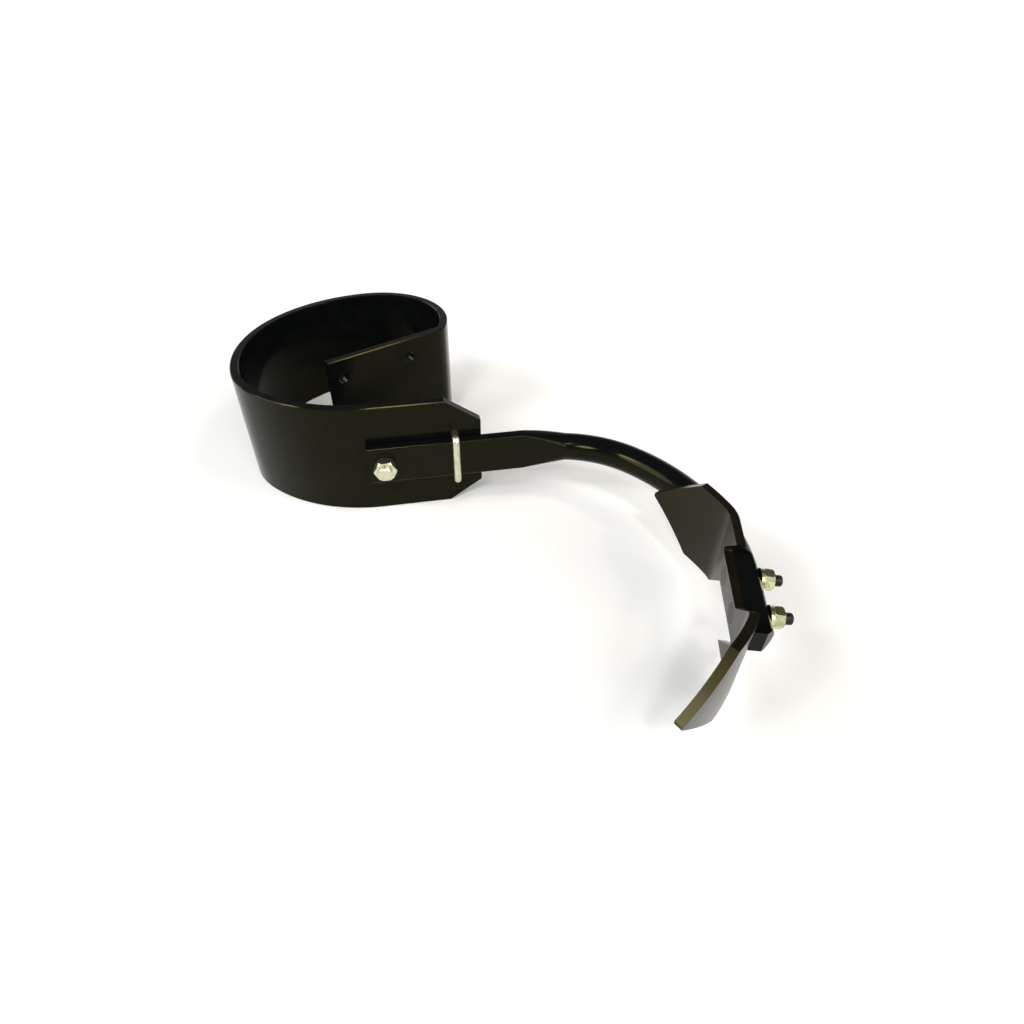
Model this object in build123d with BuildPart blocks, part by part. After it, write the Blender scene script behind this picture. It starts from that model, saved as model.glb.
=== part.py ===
from build123d import *
import math
import os

os.makedirs("parts", exist_ok=True)

# A cultivator spring tine: a wide spring band wound into one turn, a round bar shank bolted
# and clamped to its outer leg, and a curved reversible share bolted to the shank's foot.
# Millimetres and degrees. The origin is the centre of the four frame bolt holes, on the
# outer face of the band's mounting leg. +X runs along that leg from its free end to the
# tight bend, +Z is across the band, and the loop lies on the +Y side.

# Spring band
band_width = 130.0
band_thickness = 10.0
mount_leg = 148.2
front_leg = 114.7
# outer radius and turn of each bow, from the mounting leg round to the front leg
band_bows = [(21.7, 43.4), (95.5, 115.2), (171.0, 99.4), (102.0, 25.3), (167.7, 49.8)]
band_edge_chamfer = 1.0
clip_length = 38.0
clip_height = 26.0

# Frame bolt holes
frame_hole_radius = 6.5
frame_hole_pitch_x = 90.0
frame_hole_pitch_z = 84.0
frame_hole_to_end = 15.5

# Shank: a flat forged end on the band, a bent round bar, and a foot forged to the share
shank_flat_width = 45.0
shank_flat_thickness = 12.0
shank_flat_lap = 124.0
shank_flat_reach = 45.0
shank_flat_round = 3.0
shank_diameter = 30.0
shank_straight = 68.2
shank_knee_radius = 116.5
shank_knee_turn = 49.2
# share of the knee that the change from flat to round runs into
shank_taper_share = 0.25
shank_bow_radius = 192.6
shank_bow_turn = 58.6
shank_foot = 72.0
# what the drawn section leaves short of a full round at each corner
shank_round_left = 0.1
shank_end_chamfer = 2.0
foot_seat_height = 7.6
# the foot is forged flat above and below from this far before the share's middle
foot_flat_start = 42.0
foot_half_height = 11.0
foot_end_chamfer = 8.0
nut_seat_depth = 0.5

# Share, symmetrical by a half turn about the middle of its seat
share_thickness = 7.6
share_half_width = 43.5
share_flat_half_length = 48.5
# back radius and turn of each bend, from the seat to the point
share_bends = [(41.2, 26.2), (224.3, 22.1)]
# corners of one long side: distance towards the point, height above the seat's middle
share_side_corners = [(96.0, 43.5), (55.0, 40.0), (27.0, 12.0), (-46.0, 12.0), (-15.0, 43.0)]
share_point_length = 51.7
share_point_half_width = 1.2
share_notch_round = 3.0
# how far along the outer bend the plane lies that the point is cut square to
share_point_share = 0.7
share_point_reach = 150.0
# corners nearer the middle of the seat than this are the roots of the notches
share_notch_limit = 20.0

# Bolt between band and shank
shank_bolt_diameter = 14.0
shank_bolt_hole_radius = 7.5
shank_bolt_to_leg_end = 106.0
shank_nut_flats = 22.0
shank_nut_height = 11.0
shank_bolt_head_height = 8.8
shank_bolt_projection = 5.0
shank_washer_radius = 14.0
shank_washer_thickness = 2.5
shank_washer_gap = 0.1

# U-bolt round the shank
clamp_rod_diameter = 8.0
clamp_bend_radius = 5.5
clamp_to_leg_end = 29.0
clamp_hole_radius = 4.5
clamp_side_clearance = 0.3
clamp_nut_flats = 13.0
clamp_nut_height = 6.8
clamp_washer_radius = 8.0
clamp_washer_thickness = 1.6
clamp_projection = 7.0

# Bolts through share and foot
share_bolt_diameter = 10.0
share_bolt_hole_radius = 5.5
share_bolt_pitch = 43.0
share_bolt_end_margin = 28.0
share_bolt_head_radius = 9.0
share_nut_flats = 17.0
share_nut_height = 8.4
share_bolt_projection = 7.8
share_washer_radius = 10.0
share_washer_thickness = 3.0

# Shares of a nut's height and width that its corners are chamfered by
nut_chamfer_share = 0.16
nut_rim_share = 0.06
bolt_end_chamfer = 1.0

# Allowance for every cut that runs past a face, and a reach longer than any section
overrun = 5.0
cut_reach = 80.0


# ---- Guide lines and planes ----

free_end = -frame_hole_pitch_x / 2 - frame_hole_to_end


def follow_band(depth):
    """Edges along the band at one depth below its outer face."""
    edges = [Line((free_end, depth), (free_end + mount_leg, depth))]
    for radius, turn in band_bows:
        last = edges[-1]
        edges.append(JernArc(last @ 1, last % 1, radius - depth, turn))
    last = edges[-1]
    edges.append(Line(last @ 1, last @ 1 + (last % 1) * front_leg))
    return edges


def outward(direction):
    """The direction to the right of a direction in the plan."""
    return Vector(direction.Y, -direction.X, 0)


with BuildLine() as band_outer:
    outer_edges = follow_band(0)

leg_end = outer_edges[-1] @ 1
leg_direction = outer_edges[-1] % 1
# On the front leg: x to the leg's end and past it, y across the band, z out of the band
leg_plane = Plane(origin=leg_end, x_dir=leg_direction, z_dir=outward(leg_direction))
shank_axis_start = leg_plane.offset(shank_flat_thickness / 2)

with BuildLine() as shank_line:
    straight = Line(
        shank_axis_start.origin - leg_direction * shank_flat_lap,
        shank_axis_start.origin + leg_direction * shank_straight,
    )
    knee = JernArc(straight @ 1, straight % 1, shank_knee_radius, -shank_knee_turn)
    bow = JernArc(knee @ 1, knee % 1, shank_bow_radius, -shank_bow_turn)
    foot = Line(bow @ 1, bow @ 1 + (bow % 1) * shank_foot)

foot_direction = foot % 1
seat_to_foot_end = share_bolt_end_margin + share_bolt_pitch / 2
seat_middle = (
    (foot @ 1)
    - foot_direction * seat_to_foot_end
    + outward(foot_direction) * foot_seat_height
)
# On the seat: x to the point, y across the band, z to the front of the share
seat_plane = Plane(origin=seat_middle, x_dir=foot_direction, z_dir=outward(foot_direction))
share_front = seat_plane.offset(share_thickness)
foot_axis_plane = seat_plane.offset(-foot_seat_height)
nut_seat_plane = foot_axis_plane.offset(nut_seat_depth - shank_diameter / 2)
# Side view of the share: x to the point, y to its front
side_plane = Plane(origin=seat_middle, x_dir=foot_direction, z_dir=-seat_plane.y_dir)
bolt_stations = [share_bolt_pitch / 2, -share_bolt_pitch / 2]
# from the seat to the rear of the foot
foot_rear_depth = foot_seat_height + shank_diameter / 2


def follow_share(height, heading):
    """Edges from the seat's middle to one end at a height above the share's back."""
    edges = [Line((0, height), (heading * share_flat_half_length, height))]
    for radius, turn in share_bends:
        last = edges[-1]
        edges.append(JernArc(last @ 1, last % 1, radius - height, heading * turn))
    return edges


def cross_section(edge, position):
    """Plane across the shank: x to the outer side of the plan, y across the band."""
    direction = edge % position
    return Plane(origin=edge @ position, x_dir=outward(direction), z_dir=direction)


def bolt_side(station):
    """Plane through a share bolt's axis: x across it, y from the head to the nut."""
    origin = share_front.from_local_coords((station, 0, 0))
    return Plane(origin=origin, x_dir=share_front.x_dir, z_dir=share_front.y_dir)


def chamfered_hexagon(plane, flats, height):
    """A hexagon with turned corners, standing on a plane."""
    with BuildSketch(plane) as turned:
        Circle(flats / math.sqrt(3))
    body = extrude(turned.sketch, height)
    chamfer(body.edges().filter_by(GeomType.CIRCLE), height * nut_chamfer_share, flats * nut_rim_share)
    with BuildSketch(plane) as hexagon:
        RegularPolygon(flats / 2, 6, major_radius=False)
    extrude(hexagon.sketch, height, mode=Mode.INTERSECT)


def disc(plane, radius, height, mode):
    """A round body or hole from a plane."""
    with BuildSketch(plane) as round_section:
        Circle(radius)
    extrude(round_section.sketch, height, mode=mode)


def at_station(plane, station):
    """The same plane moved along its x."""
    return Plane(
        origin=plane.from_local_coords((station, 0, 0)),
        x_dir=plane.x_dir,
        z_dir=plane.z_dir,
    )


def turned_over(plane):
    """The same plane facing the other way."""
    return Plane(origin=plane.origin, x_dir=plane.x_dir, z_dir=-plane.z_dir)


# ---- Spring band ----

with BuildPart() as band_spring:
    with BuildSketch(Plane.XY):
        with BuildLine():
            outer = follow_band(0)
            inner = follow_band(band_thickness)
            Line(outer[0] @ 0, inner[0] @ 0)
            Line(outer[-1] @ 1, inner[-1] @ 1)
        make_face()
    extrude(amount=band_width / 2, both=True)
    # both corners of the front leg's end are clipped
    with BuildSketch(leg_plane):
        with BuildLine():
            Polyline(
                (0, band_width / 2 - clip_height),
                (-clip_length, band_width / 2),
                (overrun, band_width / 2),
                close=True,
            )
        make_face()
        mirror(about=Plane.XZ)
    extrude(amount=-band_thickness, mode=Mode.SUBTRACT)
    # the long edges of the rolled band are chamfered
    rim_edges = band_spring.edges().group_by(Axis.Z)[0] + band_spring.edges().group_by(Axis.Z)[-1]
    long_edges = rim_edges.filter_by(lambda edge: edge.length > band_thickness + overrun)
    chamfer(long_edges, band_edge_chamfer)
    with BuildSketch(Plane.XZ):
        with GridLocations(frame_hole_pitch_x, frame_hole_pitch_z, 2, 2):
            Circle(frame_hole_radius)
    extrude(amount=-band_thickness, mode=Mode.SUBTRACT)
    with BuildSketch(leg_plane):
        with Locations((-shank_bolt_to_leg_end, 0)):
            Circle(shank_bolt_hole_radius)
        with Locations((-clamp_to_leg_end, 0)):
            with GridLocations(
                0, shank_flat_width + clamp_rod_diameter + 2 * clamp_side_clearance, 1, 2
            ):
                Circle(clamp_hole_radius)
    extrude(amount=-band_thickness, mode=Mode.SUBTRACT)

band_spring.part.label = "band_spring"
export_step(band_spring.part, "parts/band_spring.step")


# ---- Shank ----

flat_start = cross_section(straight, 0)
taper_middle = cross_section(straight, 1)
taper_end = cross_section(knee, shank_taper_share)
middle_thickness = (shank_flat_thickness + shank_diameter) / 2
middle_width = (shank_flat_width + shank_diameter) / 2

with BuildPart() as shank:
    with BuildSketch(flat_start):
        RectangleRounded(shank_flat_thickness, shank_flat_width, shank_flat_round)
    extrude(amount=shank_flat_lap + shank_flat_reach)
    # the flat end is drawn out to the round bar through three sections
    with BuildSketch(flat_start.offset(shank_flat_lap + shank_flat_reach)):
        RectangleRounded(shank_flat_thickness, shank_flat_width, shank_flat_round)
    with BuildSketch(taper_middle):
        RectangleRounded(middle_thickness, middle_width, middle_thickness / 2 - shank_flat_round)
    with BuildSketch(taper_end):
        RectangleRounded(shank_diameter, shank_diameter, shank_diameter / 2 - shank_round_left)
    loft()
    with BuildLine():
        knee_rest = JernArc(
            taper_end.origin,
            taper_end.z_dir,
            shank_knee_radius,
            -shank_knee_turn * (1 - shank_taper_share),
        )
        bow_rest = JernArc(knee_rest @ 1, knee_rest % 1, shank_bow_radius, -shank_bow_turn)
        Line(bow_rest @ 1, bow_rest @ 1 + (bow_rest % 1) * shank_foot)
    with BuildSketch(taper_end):
        Circle(shank_diameter / 2)
    sweep()
    chamfer(shank.faces().sort_by(Axis(foot @ 1, foot_direction))[-1].edges(), shank_end_chamfer)
    # the foot is forged flat above and below, and its rear corner is cut off
    with BuildSketch(foot_axis_plane):
        with BuildLine():
            Polyline(
                (-foot_flat_start, cut_reach),
                (-foot_flat_start, foot_half_height),
                (seat_to_foot_end + overrun, foot_half_height),
                (seat_to_foot_end + overrun, cut_reach),
                close=True,
            )
        make_face()
        mirror(about=Plane.XZ)
    extrude(amount=cut_reach / 2, both=True, mode=Mode.SUBTRACT)
    with BuildSketch(side_plane):
        with BuildLine():
            Polyline(
                (seat_to_foot_end - foot_end_chamfer, -foot_rear_depth),
                (seat_to_foot_end, foot_end_chamfer - foot_rear_depth),
                (seat_to_foot_end + overrun, -foot_rear_depth),
                close=True,
            )
        make_face()
    extrude(amount=cut_reach / 2, both=True, mode=Mode.SUBTRACT)
    # the front of the foot is forged to the back of the share
    with BuildSketch(side_plane):
        with BuildLine():
            rear_edges = follow_share(0, -1)
            Polyline(
                rear_edges[-1] @ 1,
                ((rear_edges[-1] @ 1).X, cut_reach),
                (seat_to_foot_end + overrun, cut_reach),
                (seat_to_foot_end + overrun, 0),
                (0, 0),
            )
        make_face()
    extrude(amount=cut_reach / 2, both=True, mode=Mode.SUBTRACT)
    # flats for the washers, and the bolt holes
    with BuildSketch(nut_seat_plane):
        with GridLocations(share_bolt_pitch, 0, 2, 1):
            Circle(share_washer_radius + overrun / 2)
    extrude(amount=-cut_reach / 2, mode=Mode.SUBTRACT)
    with BuildSketch(seat_plane.offset(overrun)):
        with GridLocations(share_bolt_pitch, 0, 2, 1):
            Circle(share_bolt_hole_radius)
    extrude(amount=-cut_reach / 2, mode=Mode.SUBTRACT)
    with BuildSketch(leg_plane):
        with Locations((-shank_bolt_to_leg_end, 0)):
            Circle(shank_bolt_hole_radius)
    extrude(amount=shank_flat_thickness, mode=Mode.SUBTRACT)

shank.part.label = "shank"
export_step(shank.part, "parts/shank.step")


# ---- Share ----

half_turn_corners = [(-along, -across) for along, across in share_side_corners]
# On the outer bend: x to the point along the plate, y across the band
point_bend = follow_share(0, 1)[-1]
point_base = point_bend @ share_point_share
point_ahead = side_plane.from_local_coords(point_base + point_bend % share_point_share)
point_origin = side_plane.from_local_coords(point_base)
point_direction = point_ahead - point_origin
point_plane = Plane(
    origin=point_origin,
    x_dir=point_direction,
    z_dir=point_direction.cross(seat_plane.y_dir),
)
point_run = point_bend.length * (1 - share_point_share)

with BuildPart() as share:
    # half of the bent plate, from the seat's middle to one point
    with BuildSketch(side_plane):
        with BuildLine():
            back_edges = follow_share(0, 1)
            front_edges = follow_share(share_thickness, 1)
            Line(back_edges[0] @ 0, front_edges[0] @ 0)
            Line(back_edges[-1] @ 1, front_edges[-1] @ 1)
        make_face()
    extrude(amount=share_half_width, both=True)
    # the long sides, with the notch that leaves the seat narrow
    with BuildSketch(seat_plane) as share_outline:
        with BuildLine():
            Polyline(
                (share_point_reach, share_half_width),
                *share_side_corners,
                (-share_point_reach, share_half_width),
                (-share_point_reach, -share_half_width),
                *half_turn_corners,
                (share_point_reach, -share_half_width),
                close=True,
            )
        make_face()
        notch_corners = share_outline.vertices().filter_by(
            lambda corner: abs(corner.Y) < share_notch_limit
        )
        fillet(notch_corners, share_notch_round)
    extrude(amount=cut_reach, mode=Mode.INTERSECT)
    # the point is cut square to the plate
    with BuildSketch(point_plane):
        with BuildLine():
            Polyline(
                (point_run, share_point_half_width),
                (point_run - share_point_length, share_half_width),
                (point_run + overrun, share_half_width + overrun),
                (point_run + overrun, share_point_half_width),
                close=True,
            )
        make_face()
        mirror(about=Plane.XZ)
    extrude(amount=share_half_width, both=True, mode=Mode.SUBTRACT)
    add(share.part.rotate(Axis(seat_middle, seat_plane.z_dir), 180))
    # countersunk bolt holes
    with Locations(share_front):
        with GridLocations(share_bolt_pitch, 0, 2, 1):
            CounterSinkHole(share_bolt_hole_radius, share_bolt_head_radius, share_thickness)

share.part.label = "share"
export_step(share.part, "parts/share.step")


# ---- Fasteners ----

def nut(plane, flats, height, bolt_diameter):
    """A nut standing on a plane, with a bore that the bolt fills."""
    chamfered_hexagon(plane, flats, height)
    disc(plane, bolt_diameter / 2, height, Mode.SUBTRACT)


def washer(plane, radius, height, bolt_diameter):
    """A washer lying on a plane."""
    disc(plane, radius, height, Mode.ADD)
    disc(plane, bolt_diameter / 2, height, Mode.SUBTRACT)


def countersunk_bolt(station):
    """A bolt flush in the share's front, its end past the nut behind the foot."""
    side = bolt_side(station)
    grip = share_thickness + foot_seat_height + shank_diameter / 2 - nut_seat_depth
    end = grip + share_washer_thickness + share_nut_height + share_bolt_projection
    radius = share_bolt_diameter / 2
    with BuildSketch(side) as half_section:
        with BuildLine():
            Polyline(
                (0, 0),
                (share_bolt_head_radius, 0),
                (radius, share_bolt_head_radius - radius),
                (radius, end - bolt_end_chamfer),
                (radius - bolt_end_chamfer, end),
                (0, end),
                close=True,
            )
        make_face()
    revolve(half_section.sketch, Axis(side.origin, side.y_dir))


rear_plane = turned_over(nut_seat_plane)
rear_nut_plane = rear_plane.offset(share_washer_thickness)

with BuildPart() as share_bolt_lower:
    countersunk_bolt(bolt_stations[0])
share_bolt_lower.part.label = "share_bolt_lower"
export_step(share_bolt_lower.part, "parts/share_bolt_lower.step")

with BuildPart() as share_bolt_upper:
    countersunk_bolt(bolt_stations[1])
share_bolt_upper.part.label = "share_bolt_upper"
export_step(share_bolt_upper.part, "parts/share_bolt_upper.step")

with BuildPart() as share_washer_lower:
    washer(
        at_station(rear_plane, bolt_stations[0]),
        share_washer_radius,
        share_washer_thickness,
        share_bolt_diameter,
    )
share_washer_lower.part.label = "share_washer_lower"
export_step(share_washer_lower.part, "parts/share_washer_lower.step")

with BuildPart() as share_washer_upper:
    washer(
        at_station(rear_plane, bolt_stations[1]),
        share_washer_radius,
        share_washer_thickness,
        share_bolt_diameter,
    )
share_washer_upper.part.label = "share_washer_upper"
export_step(share_washer_upper.part, "parts/share_washer_upper.step")

with BuildPart() as share_nut_lower:
    nut(
        at_station(rear_nut_plane, bolt_stations[0]),
        share_nut_flats,
        share_nut_height,
        share_bolt_diameter,
    )
share_nut_lower.part.label = "share_nut_lower"
export_step(share_nut_lower.part, "parts/share_nut_lower.step")

with BuildPart() as share_nut_upper:
    nut(
        at_station(rear_nut_plane, bolt_stations[1]),
        share_nut_flats,
        share_nut_height,
        share_bolt_diameter,
    )
share_nut_upper.part.label = "share_nut_upper"
export_step(share_nut_upper.part, "parts/share_nut_upper.step")

# The bolt between band and shank: head and washer in the loop, nut on the shank
bolt_station_plane = at_station(leg_plane, -shank_bolt_to_leg_end)
inner_plane = turned_over(bolt_station_plane).offset(band_thickness + shank_washer_gap)
head_plane = inner_plane.offset(shank_washer_thickness)
shank_nut_plane = bolt_station_plane.offset(shank_flat_thickness)
shank_bolt_length = (
    shank_washer_thickness
    + shank_washer_gap
    + band_thickness
    + shank_flat_thickness
    + shank_nut_height
    + shank_bolt_projection
)

with BuildPart() as shank_bolt:
    chamfered_hexagon(head_plane, shank_nut_flats, shank_bolt_head_height)
    with BuildSketch(head_plane):
        Circle(shank_bolt_diameter / 2)
    extrude(amount=-shank_bolt_length)
    chamfer(shank_bolt.faces().sort_by(Axis(leg_end, leg_plane.z_dir))[-1].edges(), bolt_end_chamfer)
shank_bolt.part.label = "shank_bolt"
export_step(shank_bolt.part, "parts/shank_bolt.step")

with BuildPart() as shank_washer:
    washer(inner_plane, shank_washer_radius, shank_washer_thickness, shank_bolt_diameter)
shank_washer.part.label = "shank_washer"
export_step(shank_washer.part, "parts/shank_washer.step")

with BuildPart() as shank_nut:
    nut(shank_nut_plane, shank_nut_flats, shank_nut_height, shank_bolt_diameter)
shank_nut.part.label = "shank_nut"
export_step(shank_nut.part, "parts/shank_nut.step")

# The U-bolt: its bow bears on the shank, its legs pass the shank through the band
clamp_plane = at_station(leg_plane, -clamp_to_leg_end)
leg_offset = shank_flat_width / 2 + clamp_side_clearance + clamp_rod_diameter / 2
bow_height = shank_flat_thickness + clamp_rod_diameter / 2
clamp_leg_depth = band_thickness + clamp_washer_thickness + clamp_nut_height + clamp_projection
# Across the band: x up the band, y out of it
clamp_section = Plane(
    origin=clamp_plane.origin,
    x_dir=clamp_plane.y_dir,
    z_dir=clamp_plane.x_dir,
)
clamp_inner = turned_over(clamp_plane).offset(band_thickness)

with BuildPart() as u_bolt:
    with BuildLine(clamp_section):
        FilletPolyline(
            (leg_offset, -clamp_leg_depth),
            (leg_offset, bow_height),
            (-leg_offset, bow_height),
            (-leg_offset, -clamp_leg_depth),
            radius=clamp_bend_radius,
        )
    with BuildSketch(
        Plane(
            origin=clamp_section.from_local_coords((leg_offset, -clamp_leg_depth, 0)),
            z_dir=clamp_plane.z_dir,
        )
    ):
        Circle(clamp_rod_diameter / 2)
    sweep()
    leg_ends = u_bolt.faces().filter_by(GeomType.PLANE)
    chamfer(leg_ends.edges(), bolt_end_chamfer)
u_bolt.part.label = "u_bolt"
export_step(u_bolt.part, "parts/u_bolt.step")


def clamp_leg_plane(side, height):
    """Plane on the band's inner face about one leg of the U-bolt."""
    origin = clamp_inner.origin + clamp_plane.y_dir * (side * leg_offset)
    return Plane(origin=origin, x_dir=clamp_plane.x_dir, z_dir=clamp_inner.z_dir).offset(height)


with BuildPart() as u_bolt_washer_upper:
    washer(
        clamp_leg_plane(1, 0), clamp_washer_radius, clamp_washer_thickness, clamp_rod_diameter
    )
u_bolt_washer_upper.part.label = "u_bolt_washer_upper"
export_step(u_bolt_washer_upper.part, "parts/u_bolt_washer_upper.step")

with BuildPart() as u_bolt_washer_lower:
    washer(
        clamp_leg_plane(-1, 0), clamp_washer_radius, clamp_washer_thickness, clamp_rod_diameter
    )
u_bolt_washer_lower.part.label = "u_bolt_washer_lower"
export_step(u_bolt_washer_lower.part, "parts/u_bolt_washer_lower.step")

with BuildPart() as u_bolt_nut_upper:
    nut(
        clamp_leg_plane(1, clamp_washer_thickness),
        clamp_nut_flats,
        clamp_nut_height,
        clamp_rod_diameter,
    )
u_bolt_nut_upper.part.label = "u_bolt_nut_upper"
export_step(u_bolt_nut_upper.part, "parts/u_bolt_nut_upper.step")

with BuildPart() as u_bolt_nut_lower:
    nut(
        clamp_leg_plane(-1, clamp_washer_thickness),
        clamp_nut_flats,
        clamp_nut_height,
        clamp_rod_diameter,
    )
u_bolt_nut_lower.part.label = "u_bolt_nut_lower"
export_step(u_bolt_nut_lower.part, "parts/u_bolt_nut_lower.step")
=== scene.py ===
import math

import bmesh
import bpy
from mathutils import Matrix, Vector


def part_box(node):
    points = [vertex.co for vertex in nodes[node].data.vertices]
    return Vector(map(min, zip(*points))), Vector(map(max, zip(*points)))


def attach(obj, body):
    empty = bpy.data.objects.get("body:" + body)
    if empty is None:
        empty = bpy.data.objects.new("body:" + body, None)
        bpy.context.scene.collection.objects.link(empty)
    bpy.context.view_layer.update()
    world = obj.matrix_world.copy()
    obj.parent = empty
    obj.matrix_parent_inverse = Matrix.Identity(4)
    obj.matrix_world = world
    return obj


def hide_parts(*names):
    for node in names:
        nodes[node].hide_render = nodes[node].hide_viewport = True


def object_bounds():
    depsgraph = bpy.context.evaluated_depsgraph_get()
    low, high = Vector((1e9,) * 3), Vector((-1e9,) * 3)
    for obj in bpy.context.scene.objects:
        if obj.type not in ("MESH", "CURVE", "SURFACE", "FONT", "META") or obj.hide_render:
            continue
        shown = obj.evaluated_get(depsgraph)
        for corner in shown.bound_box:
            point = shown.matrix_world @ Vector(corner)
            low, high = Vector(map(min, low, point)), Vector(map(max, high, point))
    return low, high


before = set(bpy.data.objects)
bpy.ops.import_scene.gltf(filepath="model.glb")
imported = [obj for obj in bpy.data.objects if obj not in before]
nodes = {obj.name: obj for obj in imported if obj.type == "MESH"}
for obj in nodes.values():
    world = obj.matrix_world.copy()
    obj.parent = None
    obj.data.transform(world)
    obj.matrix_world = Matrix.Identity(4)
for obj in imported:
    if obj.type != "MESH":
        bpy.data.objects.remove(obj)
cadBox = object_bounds()
print("frame loaded:", len(nodes), "solids")


# Camera, floor and light

cameraPlace = {
    "eye": (-0.29919, -0.63869, 0.39757),
    "lookAlong": (0.45649, 0.60590, -0.65153),
    "lens": 22.078,
    "sensor": 36.0,
    "shift": (0.01321, 0.00470),
    "clip": (0.01, 60.0),
}

studio = {
    # the floor reaches past the camera's horizon
    "floorSize": 120.0,
    "floorColour": (0.86, 0.86, 0.85, 1.0),
    # sine of the height above the horizon, and how bright the sky is there
    "sky": [(0.0, 0.90), (0.22, 0.74), (0.36, 0.34), (0.48, 0.10), (1.0, 0.07)],
    # name, azimuth and height in degrees, strength, width in degrees, colour
    "lights": [
        ("keyLight", 214.0, 40.0, 1.0, 15.0, (1.0, 0.985, 0.96)),
        # these three draw thin lines on the band's rims and on the share's lower edge
        ("rimLight", 241.0, 57.0, 0.7, 9.0, (1.0, 0.98, 0.93)),
        ("legLight", 311.0, 54.0, 0.4, 8.0, (1.0, 0.93, 0.80)),
        ("tipLight", 167.0, 40.0, 0.6, 12.0, (1.0, 0.96, 0.90)),
        # wide and low, so that the shadows stay soft
        ("leftLight", 158.0, 30.0, 1.25, 34.0, (0.93, 0.97, 1.0)),
        ("rightLight", 312.0, 30.0, 1.05, 34.0, (1.0, 0.95, 0.88)),
        ("rearLight", 112.0, 28.0, 0.8, 34.0, (1.0, 1.0, 1.0)),
        ("frontLight", 264.0, 30.0, 1.0, 34.0, (1.0, 1.0, 1.0)),
    ],
    "viewTransform": "Standard",
}


def makeCamera():
    data = bpy.data.cameras.new("photoCamera")
    data.lens = cameraPlace["lens"]
    data.sensor_width = cameraPlace["sensor"]
    data.shift_x, data.shift_y = cameraPlace["shift"]
    data.clip_start, data.clip_end = cameraPlace["clip"]
    camera = bpy.data.objects.new("photoCamera", data)
    camera.location = cameraPlace["eye"]
    camera.rotation_mode = "QUATERNION"
    camera.rotation_quaternion = Vector(cameraPlace["lookAlong"]).to_track_quat("-Z", "Y")
    bpy.context.scene.collection.objects.link(camera)
    bpy.context.scene.camera = camera


def newMaterial(name):
    made = bpy.data.materials.new(name)
    made.use_nodes = True
    return made, made.node_tree, made.node_tree.nodes["Principled BSDF"]


def addNode(tree, kind, **values):
    node = tree.nodes.new(kind)
    for key, value in values.items():
        node.inputs[key].default_value = value
    return node


def makePiece(name, bm, finish):
    mesh = bpy.data.meshes.new(name)
    bm.to_mesh(mesh)
    bm.free()
    mesh.materials.append(finish)
    piece = bpy.data.objects.new(name, mesh)
    bpy.context.scene.collection.objects.link(piece)
    return piece


def makeFloor():
    bm = bmesh.new()
    bmesh.ops.create_grid(bm, x_segments=1, y_segments=1, size=studio["floorSize"] / 2)
    bmesh.ops.translate(bm, verts=bm.verts, vec=(0, 0, cadBox[0].z))
    paper, _, shader = newMaterial("floorPaper")
    shader.inputs["Base Color"].default_value = studio["floorColour"]
    shader.inputs["Roughness"].default_value = 1.0
    shader.inputs["Specular IOR Level"].default_value = 0.0
    floor = makePiece("studioFloor", bm, paper)


def makeLights():
    for name, azimuth, height, strength, width, colour in studio["lights"]:
        data = bpy.data.lights.new(name, "SUN")
        data.energy = strength
        data.angle = math.radians(width)
        data.color = colour
        light = bpy.data.objects.new(name, data)
        level = math.cos(math.radians(height))
        comesFrom = Vector((
            level * math.cos(math.radians(azimuth)),
            level * math.sin(math.radians(azimuth)),
            math.sin(math.radians(height)),
        ))
        light.rotation_mode = "QUATERNION"
        light.rotation_quaternion = comesFrom.to_track_quat("Z", "Y")
        bpy.context.scene.collection.objects.link(light)


def makeSky():
    world = bpy.data.worlds.new("studioSky")
    bpy.context.scene.world = world
    world.use_nodes = True
    tree = world.node_tree
    place = addNode(tree, "ShaderNodeTexCoord")
    split = addNode(tree, "ShaderNodeSeparateXYZ")
    fade = addNode(tree, "ShaderNodeValToRGB")
    ramp = fade.color_ramp.elements
    while len(ramp) < len(studio["sky"]):
        ramp.new(1.0)
    for stop, (height, glow) in zip(ramp, studio["sky"]):
        stop.position = height
        stop.color = (glow, glow, glow, 1.0)
    tree.links.new(place.outputs["Generated"], split.inputs["Vector"])
    tree.links.new(split.outputs["Z"], fade.inputs["Fac"])
    tree.links.new(fade.outputs["Color"], tree.nodes["Background"].inputs["Color"])


makeCamera()
makeFloor()
makeLights()
makeSky()
bpy.context.scene.view_settings.view_transform = studio["viewTransform"]
print("camera, floor and light made")


# Finishes

def cloudedMaterial(name, look):
    # colour and roughness drift together over the piece
    made, tree, shader = newMaterial(name)
    place = addNode(tree, "ShaderNodeTexCoord")
    cloud = addNode(tree, "ShaderNodeTexNoise", **look["cloud"])
    tree.links.new(place.outputs["Object"], cloud.inputs["Vector"])
    tint = addNode(tree, "ShaderNodeValToRGB")
    for stop, position, colour in zip(tint.color_ramp.elements, look["stops"], look["colours"]):
        stop.position = position
        stop.color = colour
    tree.links.new(cloud.outputs["Fac"], tint.inputs["Fac"])
    tree.links.new(tint.outputs["Color"], shader.inputs["Base Color"])
    gloss = addNode(tree, "ShaderNodeMapRange")
    gloss.inputs["To Min"].default_value, gloss.inputs["To Max"].default_value = look["roughness"]
    tree.links.new(cloud.outputs["Fac"], gloss.inputs["Value"])
    tree.links.new(gloss.outputs["Result"], shader.inputs["Roughness"])
    return made, place, cloud


def addBump(made, pattern, values):
    tree = made.node_tree
    bump = addNode(tree, "ShaderNodeBump", **values)
    tree.links.new(pattern.outputs["Fac"], bump.inputs["Height"])
    tree.links.new(bump.outputs["Normal"], tree.nodes["Principled BSDF"].inputs["Normal"])


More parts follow.
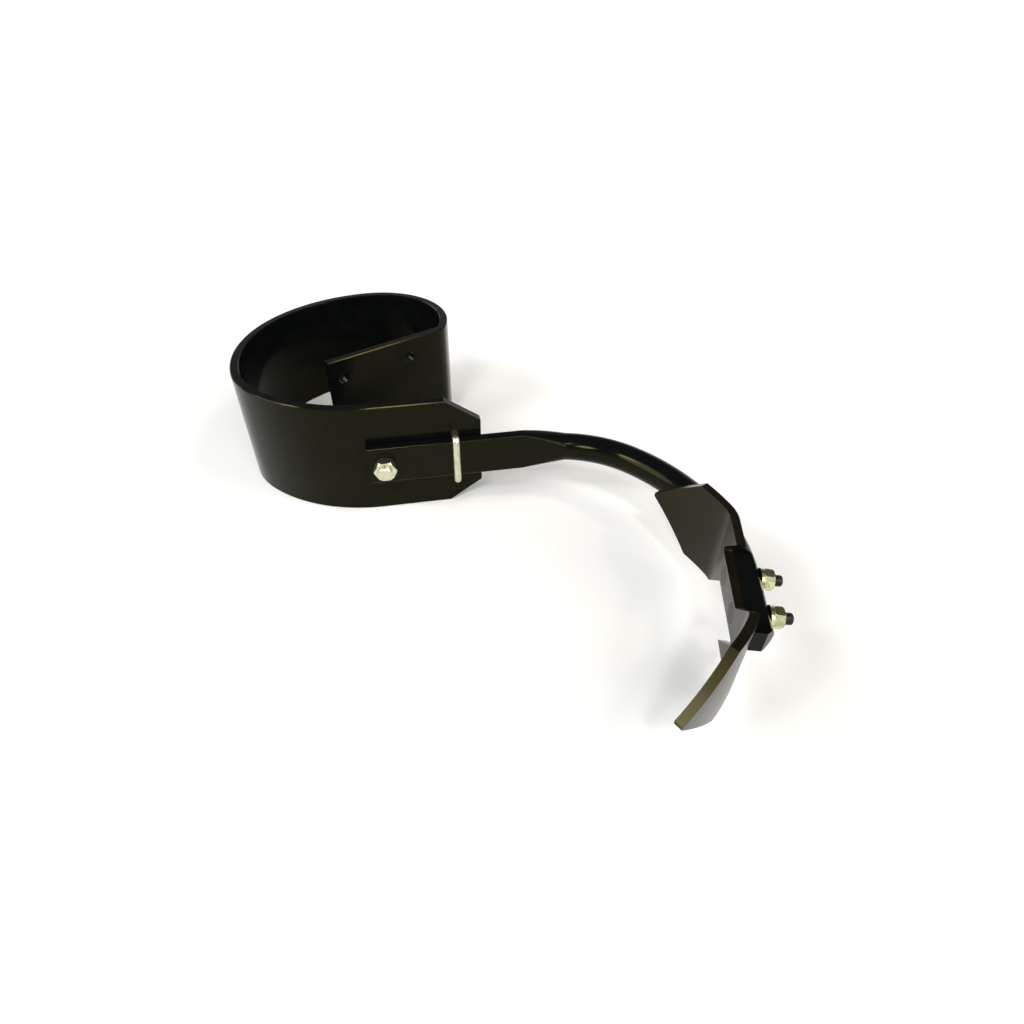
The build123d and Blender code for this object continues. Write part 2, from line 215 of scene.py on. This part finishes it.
paintCoat = {
    "cloud": {"Scale": 38.0, "Detail": 5.0, "Roughness": 0.6},
    "stops": (0.35, 0.75),
    "orangePeel": {"Scale": 420.0, "Detail": 2.0},
    "bump": {"Strength": 0.5, "Distance": 0.00004},
    "sockets": {"Coat Weight": 0.025, "Coat Roughness": 0.04},
}

bandLook = {
    "colours": ((0.0018, 0.0026, 0.0030, 1.0), (0.0036, 0.0040, 0.0036, 1.0)),
    "roughness": (0.12, 0.20),
    "gloss": 0.10,
    "glossTint": (1.0, 0.86, 0.16, 1.0),
}

shankLook = {
    "colours": bandLook["colours"],
    "roughness": (0.11, 0.18),
    "gloss": 0.11,
    "glossTint": (1.0, 0.90, 0.28, 1.0),
}

shareLook = {
    "colours": ((0.0036, 0.0030, 0.0016, 1.0), (0.0070, 0.0058, 0.0028, 1.0)),
    "roughness": (0.20, 0.30),
    "gloss": 0.18,
    "glossTint": (1.0, 0.86, 0.36, 1.0),
}


def paintFinish(name, look):
    made, place, _ = cloudedMaterial(name, {**paintCoat, **look})
    tree = made.node_tree
    peel = addNode(tree, "ShaderNodeTexNoise", **paintCoat["orangePeel"])
    tree.links.new(place.outputs["Object"], peel.inputs["Vector"])
    addBump(made, peel, paintCoat["bump"])
    shader = tree.nodes["Principled BSDF"]
    shader.inputs["Specular IOR Level"].default_value = look["gloss"]
    shader.inputs["Specular Tint"].default_value = look["glossTint"]
    for socket, value in paintCoat["sockets"].items():
        shader.inputs[socket].default_value = value
    return made


plating = {
    "cloud": {"Scale": 160.0, "Detail": 6.0, "Roughness": 0.65},
    "stops": (0.3, 0.7),
    "bump": {"Strength": 0.25, "Distance": 0.00005},
}

brightZincLook = {
    "colours": ((0.48, 0.46, 0.31, 1.0), (0.74, 0.73, 0.58, 1.0)),
    "roughness": (0.20, 0.40),
}

yellowZincLook = {
    "colours": ((0.40, 0.39, 0.20, 1.0), (0.72, 0.71, 0.47, 1.0)),
    "roughness": (0.18, 0.36),
}

blackOxideLook = {
    "colours": ((0.020, 0.017, 0.017, 1.0), (0.05, 0.042, 0.04, 1.0)),
    "roughness": (0.32, 0.5),
}


def platedFinish(name, look):
    made, _, cloud = cloudedMaterial(name, {**plating, **look})
    addBump(made, cloud, plating["bump"])
    made.node_tree.nodes["Principled BSDF"].inputs["Metallic"].default_value = 1.0
    return made


bandPaint = paintFinish("bandPaint", bandLook)
shankPaint = paintFinish("shankPaint", shankLook)
sharePaint = paintFinish("sharePaint", shareLook)
brightZinc = platedFinish("brightZinc", brightZincLook)
yellowZinc = platedFinish("yellowZinc", yellowZincLook)
blackOxide = platedFinish("blackOxide", blackOxideLook)
print("finishes made")


# Solids from the frame, smoothed, with their edges broken

dressing = {
    "mergeDistance": 0.00002,
    # degrees: flatter joins are dissolved, sharper ones stay edges and are rounded
    "flatAngle": 0.6,
    "sharpAngle": 32.0,
    "roundSegments": 2,
    # node: its finish, its material slot, and how far its edges are rounded
    "solids": {
        "band_spring": (bandPaint, "band_paint", 0.0008),
        "shank": (shankPaint, "shank_paint", 0.0008),
        "share": (sharePaint, "share_paint", 0.0008),
        "share_washer_upper": (yellowZinc, "zinc", 0.0002),
        "share_washer_lower": (yellowZinc, "zinc", 0.0002),
        "share_nut_upper": (yellowZinc, "zinc", 0.0003),
        "share_nut_lower": (yellowZinc, "zinc", 0.0003),
        "share_bolt_upper": (blackOxide, "black_steel", 0.0002),
        "share_bolt_lower": (blackOxide, "black_steel", 0.0002),
        "shank_bolt": (brightZinc, "zinc", 0.0002),
        "shank_washer": (brightZinc, "zinc", 0.0002),
        "shank_nut": (brightZinc, "zinc", 0.0004),
        "u_bolt": (brightZinc, "zinc", 0.0),
        "u_bolt_washer_upper": (brightZinc, "zinc", 0.0002),
        "u_bolt_washer_lower": (brightZinc, "zinc", 0.0002),
        "u_bolt_nut_upper": (brightZinc, "zinc", 0.0003),
        "u_bolt_nut_lower": (brightZinc, "zinc", 0.0003),
    },
}


def dressSolid(name, finish, edgeRound):
    flatAngle = math.radians(dressing["flatAngle"])
    sharpAngle = math.radians(dressing["sharpAngle"])
    bm = bmesh.new()
    bm.from_mesh(nodes[name].data)
    bmesh.ops.remove_doubles(bm, verts=bm.verts, dist=dressing["mergeDistance"])
    bmesh.ops.dissolve_limit(bm, angle_limit=flatAngle, verts=bm.verts, edges=bm.edges)
    for face in bm.faces:
        face.smooth = True
    for edge in bm.edges:
        edge.smooth = edge.calc_face_angle(0.0) < sharpAngle
    piece = makePiece(name + "Dressed", bm, finish)
    if edgeRound:
        bevel = piece.modifiers.new("edgeRound", "BEVEL")
        bevel.width = edgeRound
        bevel.segments = dressing["roundSegments"]
        bevel.limit_method = "ANGLE"
        bevel.angle_limit = sharpAngle
        bevel.harden_normals = True
    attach(piece, "root")
    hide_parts(name)


for name, (finish, slotName, edgeRound) in dressing["solids"].items():
    dressSolid(name, finish, edgeRound)
print("solids dressed")


# Threads on the bolt ends that stand out of their nuts

threads = {
    "pitch": 0.0014,
    # how far the rib's crest stands out of the shank, and its foot lies in it
    "crest": 0.00022,
    "sunk": 0.00025,
    "stepsPerTurn": 24,
    # nut, its washer, bolt radius, half the nut's height, threaded length, finish, slot
    "bolts": {
        "shareThreadUpper": (
            "share_nut_upper", "share_washer_upper", 0.005, 0.0042, 0.0064, blackOxide, "black_steel",
        ),
        "shareThreadLower": (
            "share_nut_lower", "share_washer_lower", 0.005, 0.0042, 0.0064, blackOxide, "black_steel",
        ),
        "shankThread": (
            "shank_nut", "shank_washer", 0.007, 0.0055, 0.0036, brightZinc, "zinc",
        ),
        "clampThreadUpper": (
            "u_bolt_nut_upper", "u_bolt_washer_upper", 0.004, 0.0034, 0.0056, brightZinc, "zinc",
        ),
        "clampThreadLower": (
            "u_bolt_nut_lower", "u_bolt_washer_lower", 0.004, 0.0034, 0.0056, brightZinc, "zinc",
        ),
    },
}


def boxMiddle(name):
    low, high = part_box(name)
    return (Vector(low) + Vector(high)) / 2


def cutThread(name, nutName, washerName, radius, nutHalf, length, finish, slotName):
    # the washer only gives the way that the bolt points
    nutMiddle = boxMiddle(nutName)
    axis = (nutMiddle - boxMiddle(washerName)).normalized()
    pitch = threads["pitch"]
    turns = length / pitch - 1
    foot = radius - threads["sunk"]
    crest = radius + threads["crest"]
    bm = bmesh.new()
    rib = [(foot, 0, -pitch / 2), (crest, 0, 0), (foot, 0, pitch / 2)]
    corners = [bm.verts.new(place) for place in rib]
    for first, second in zip(corners, corners[1:] + corners[:1]):
        bm.edges.new((first, second))
    bmesh.ops.spin(
        bm,
        geom=bm.verts[:] + bm.edges[:],
        cent=(0, 0, 0),
        axis=(0, 0, 1),
        dvec=(0, 0, pitch / threads["stepsPerTurn"]),
        angle=2 * math.pi * turns,
        steps=round(turns * threads["stepsPerTurn"]),
    )
    openEdges = [edge for edge in bm.edges if edge.is_boundary]
    bmesh.ops.holes_fill(bm, edges=openEdges, sides=len(rib))
    bmesh.ops.recalc_face_normals(bm, faces=bm.faces)
    start = nutMiddle + axis * (nutHalf + pitch / 2)
    turnTo = axis.to_track_quat("Z", "Y").to_matrix().to_4x4()
    bmesh.ops.transform(bm, matrix=Matrix.Translation(start) @ turnTo, verts=bm.verts)
    piece = makePiece(name, bm, finish)
    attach(piece, "root")


for name, bolt in threads["bolts"].items():
    cutThread(name, *bolt)
print("threads cut")
